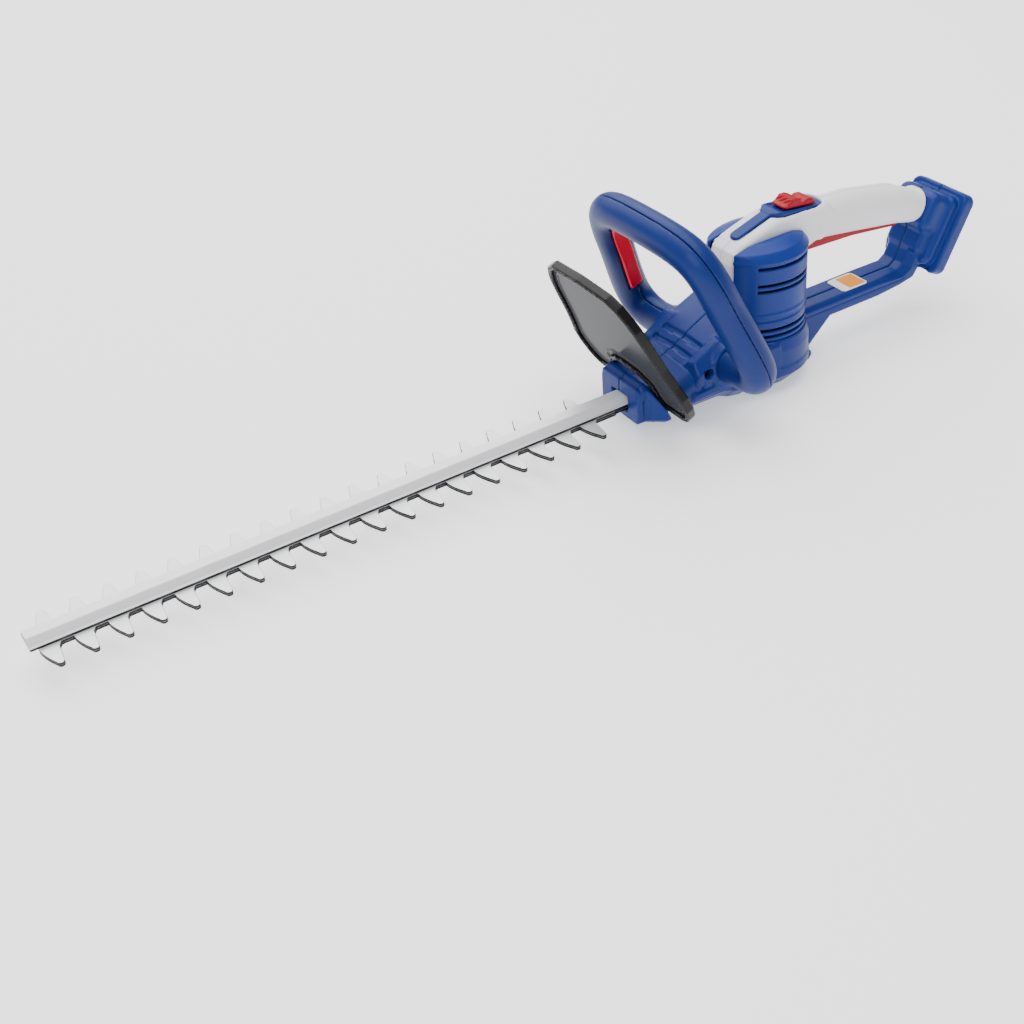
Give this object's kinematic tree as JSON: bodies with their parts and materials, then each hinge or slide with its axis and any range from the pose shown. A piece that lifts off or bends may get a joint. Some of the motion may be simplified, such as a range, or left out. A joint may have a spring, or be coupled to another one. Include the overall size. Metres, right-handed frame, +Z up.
{
  "type": "hedge trimmer",
  "caption": "Cordless hedge trimmer with twin reciprocating blades, clear hand guard, leaning loop front handle and trigger rear handle.",
  "frame": {"origin": "bottom centre of the whole machine, blades level", "axes": "-X towards the blade tip, +X to the battery dock, +Z up; the left side is at -Y"},
  "size_m": [0.9648, 0.2198, 0.2083],
  "materials": {
    "casing_blue": "fine moulded texture, satin blue",
    "cover_blue": "satin blue",
    "loop_blue": "soft satin blue",
    "handle_grey": "soft light grey overmould",
    "control_red": "semi gloss red",
    "black_plastic": "matt black",
    "guard_black": "semi gloss black",
    "guard_smoke": "smoky translucent polycarbonate",
    "rail_aluminium": "bright extruded",
    "cast_aluminium": "die cast",
    "blade_steel": "ground, bright",
    "steel": "zinc plated",
    "contact_brass": "plain",
    "board_green": "solder mask",
    "label_white": "printed film, plain areas only"
  },
  "bodies": {
    "machine": {"casing_left": "casing_blue", "casing_right": "casing_blue", "handle_shell_left": "handle_grey", "handle_shell_right": "handle_grey", "lock_panel": "casing_blue", "trigger_pin": "steel", "trigger_spring": "steel", "vent_cover_left": "cover_blue", "vent_cover_right": "cover_blue", "loop_front_shell": "loop_blue", "loop_rear_shell": "loop_blue", "front_microswitch": "black_plastic", "guard_frame": "guard_black", "guard_pane": "guard_smoke", "blade_rail": "rail_aluminium", "gearcase_base": "cast_aluminium", "gearcase_lid": "cast_aluminium", "crank_bearing_bottom": "steel", "crank_bearing_top": "steel", "motor_can": "steel", "motor_magnet_left": "black_plastic", "motor_magnet_right": "black_plastic", "terminal_block": "black_plastic", "contact_1": "contact_brass", "contact_2": "contact_brass", "contact_3": "contact_brass", "control_board": "board_green", "rear_microswitch": "black_plastic", "label_plate": "label_white", "case_screw_1": "steel", "guide_bolt_1": "steel", "guide_washer_1": "steel", "guide_nut_1": "steel", "case_screw_2": "steel", "guide_bolt_2": "steel", "guide_washer_2": "steel", "guide_nut_2": "steel", "case_screw_3": "steel", "guide_bolt_3": "steel", "guide_washer_3": "steel", "guide_nut_3": "steel", "case_screw_4": "steel", "guide_bolt_4": "steel", "guide_washer_4": "steel", "guide_nut_4": "steel", "handle_screw_1": "steel", "handle_screw_2": "steel"},
    "upper_blade": {"upper_blade": "blade_steel"},
    "lower_blade": {"lower_blade": "blade_steel"},
    "crank": {"crankshaft": "steel", "crank_gear": "steel"},
    "rotor": {"armature": "steel", "motor_pinion": "steel", "cooling_fan": "black_plastic"},
    "trigger": {"rear_trigger": "control_red"},
    "lock_slider": {"lock_off_slider": "control_red"},
    "switch_bar": {"front_switch_bar": "control_red"}
  },
  "joints": [
    {"name": "rotor_spin", "type": "hinge", "parent": "machine", "child": "rotor", "pos_m": [0.24157, 0, 0.035], "axis": [0, 0, 1], "range_deg": [-432, 432]},
    {"name": "crank_spin", "type": "hinge", "parent": "machine", "child": "crank", "pos_m": [0.19807, 0, 0.035], "axis": [0, 0, 1], "range_deg": [-90, 90]},
    {"name": "upper_blade_slide", "type": "slide", "parent": "machine", "child": "upper_blade", "axis": [1, 0, 0], "range_m": [-0.00785, 0.00785]},
    {"name": "lower_blade_slide", "type": "slide", "parent": "machine", "child": "lower_blade", "axis": [1, 0, 0], "range_m": [-0.00786, 0.00786]},
    {"name": "rear_trigger_pivot", "type": "hinge", "parent": "machine", "child": "trigger", "pos_m": [0.40157, 0, 0.112], "axis": [0, 1, 0], "range_deg": [0, 3], "stiffness_Nm_per_rad": 2, "springref_deg": -2.86},
    {"name": "lock_off_slide", "type": "slide", "parent": "machine", "child": "lock_slider", "axis": [-0.9923, 0, 0.124], "range_m": [0, 0.006], "stiffness_N_per_m": 400, "springref_m": -0.003},
    {"name": "front_bar_press", "type": "slide", "parent": "machine", "child": "switch_bar", "axis": [-0.3885, 0, 0.9215], "range_m": [0, 0.003], "stiffness_N_per_m": 1500, "springref_m": -0.003}
  ],
  "couplings": [
    {"joint": "lower_blade_slide", "follows": "upper_blade_slide", "ratio": -1},
    {"joint": "crank_spin", "follows": "upper_blade_slide", "rad_per_m": -200},
    {"joint": "rotor_spin", "follows": "upper_blade_slide", "rad_per_m": 960}
  ]
}
